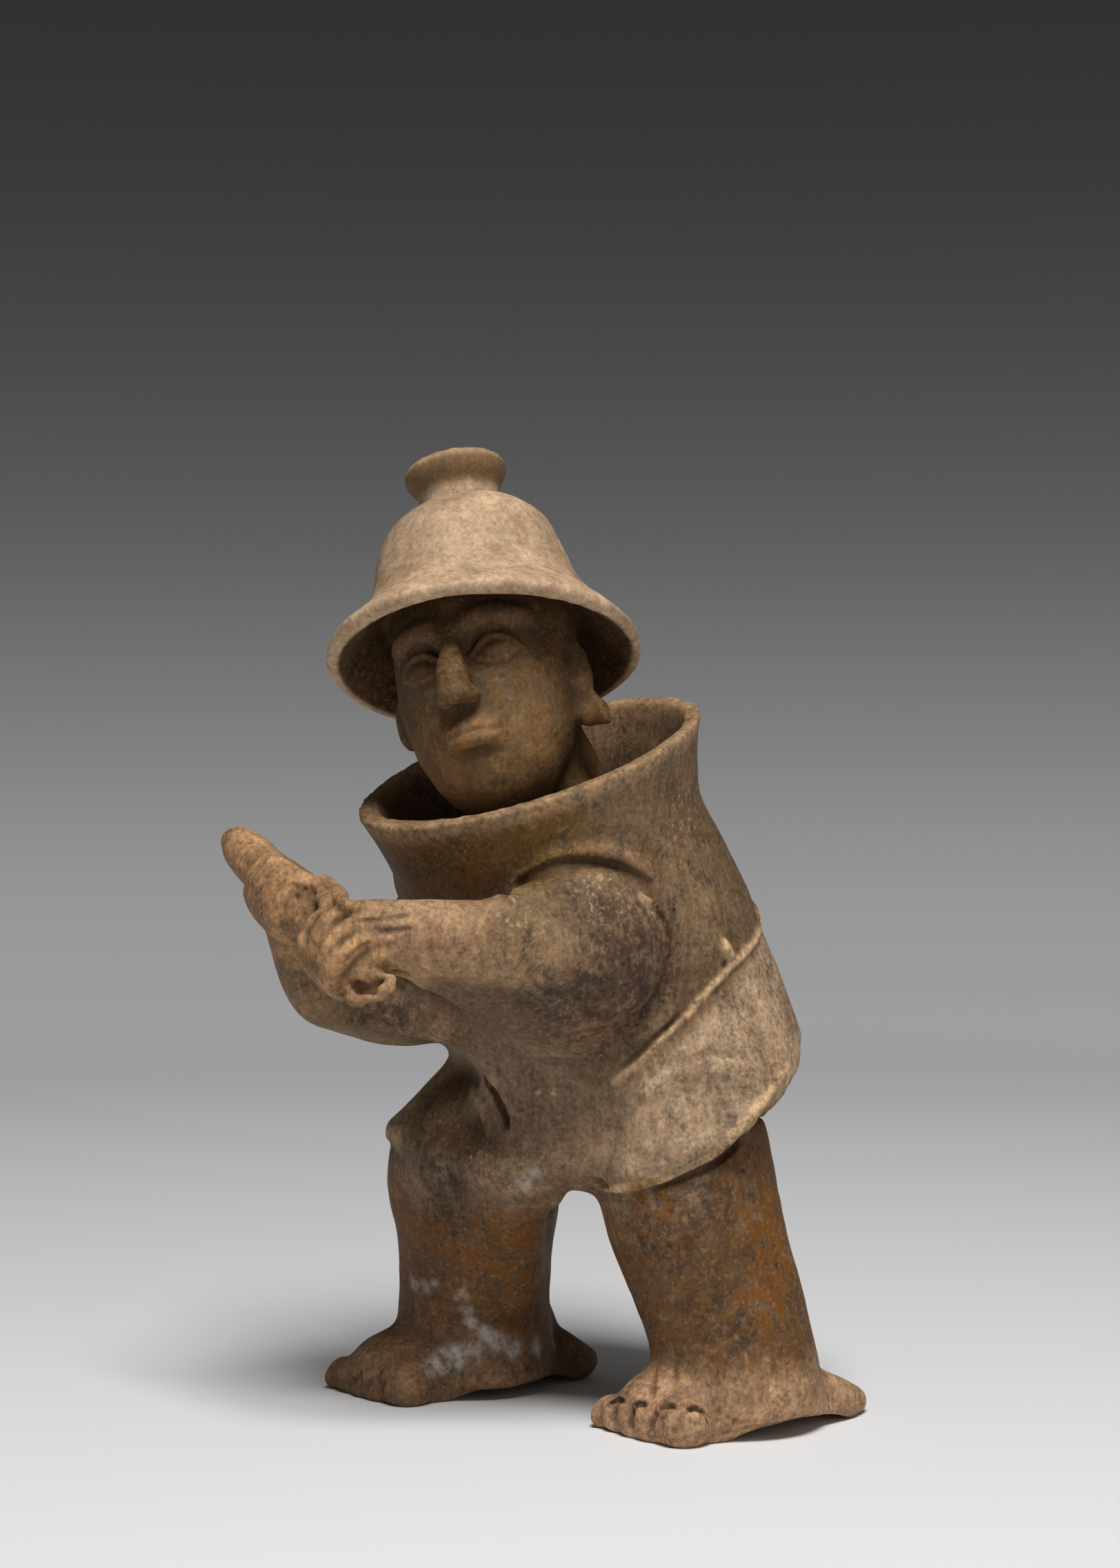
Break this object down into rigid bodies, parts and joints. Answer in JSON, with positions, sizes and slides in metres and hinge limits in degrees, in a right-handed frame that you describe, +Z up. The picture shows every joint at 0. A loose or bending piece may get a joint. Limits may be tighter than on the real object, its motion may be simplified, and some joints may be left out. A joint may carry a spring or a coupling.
{
  "type": "pottery warrior figure",
  "caption": "Standing fired-clay warrior with a bell helmet and spout, an open barrel collar, a club held across the chest and bare feet.",
  "frame": {"origin": "on the floor under the middle of the figure's box", "axes": "+Z up, -Y the way the figure's chest and feet face, +X the figure's own left"},
  "size_m": [0.1942, 0.224, 0.3803],
  "materials": {
    "fired_clay": "matte, faintly burnished, with dark specks and pale mineral deposits"
  },
  "bodies": {
    "root": {"warrior_figure": "fired_clay"}
  },
  "joints": []
}
